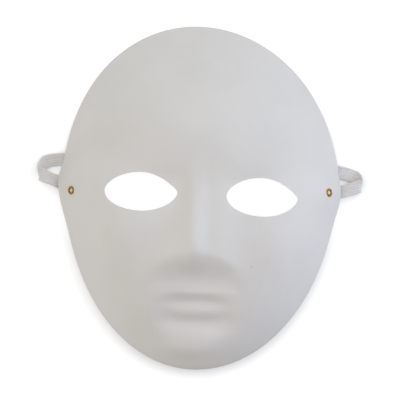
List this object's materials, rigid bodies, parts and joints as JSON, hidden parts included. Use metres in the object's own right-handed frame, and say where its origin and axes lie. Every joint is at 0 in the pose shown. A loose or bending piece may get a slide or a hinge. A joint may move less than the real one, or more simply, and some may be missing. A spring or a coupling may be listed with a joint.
{
  "type": "paintable craft mask",
  "caption": "Blank full-face craft mask: a thin domed paper shell with almond eye holes, a low nose and mouth, small brass eyelets and a flat elastic head band.",
  "frame": {"origin": "on the plane that the back rim lies on, below the middle of the oval", "axes": "+X across the face towards the wearer's left, +Y from the chin to the forehead, +Z out of the face"},
  "size_m": [0.1887, 0.202, 0.0518],
  "materials": {
    "paper": "matte pressed pulp, blank white",
    "brass": "plain rolled eyelet, satin",
    "elastic": "flat ribbed woven elastic, white"
  },
  "bodies": {
    "root": {"mask_shell": "paper", "eyelet_left": "brass", "eyelet_right": "brass", "elastic_strap": "elastic"}
  },
  "joints": []
}
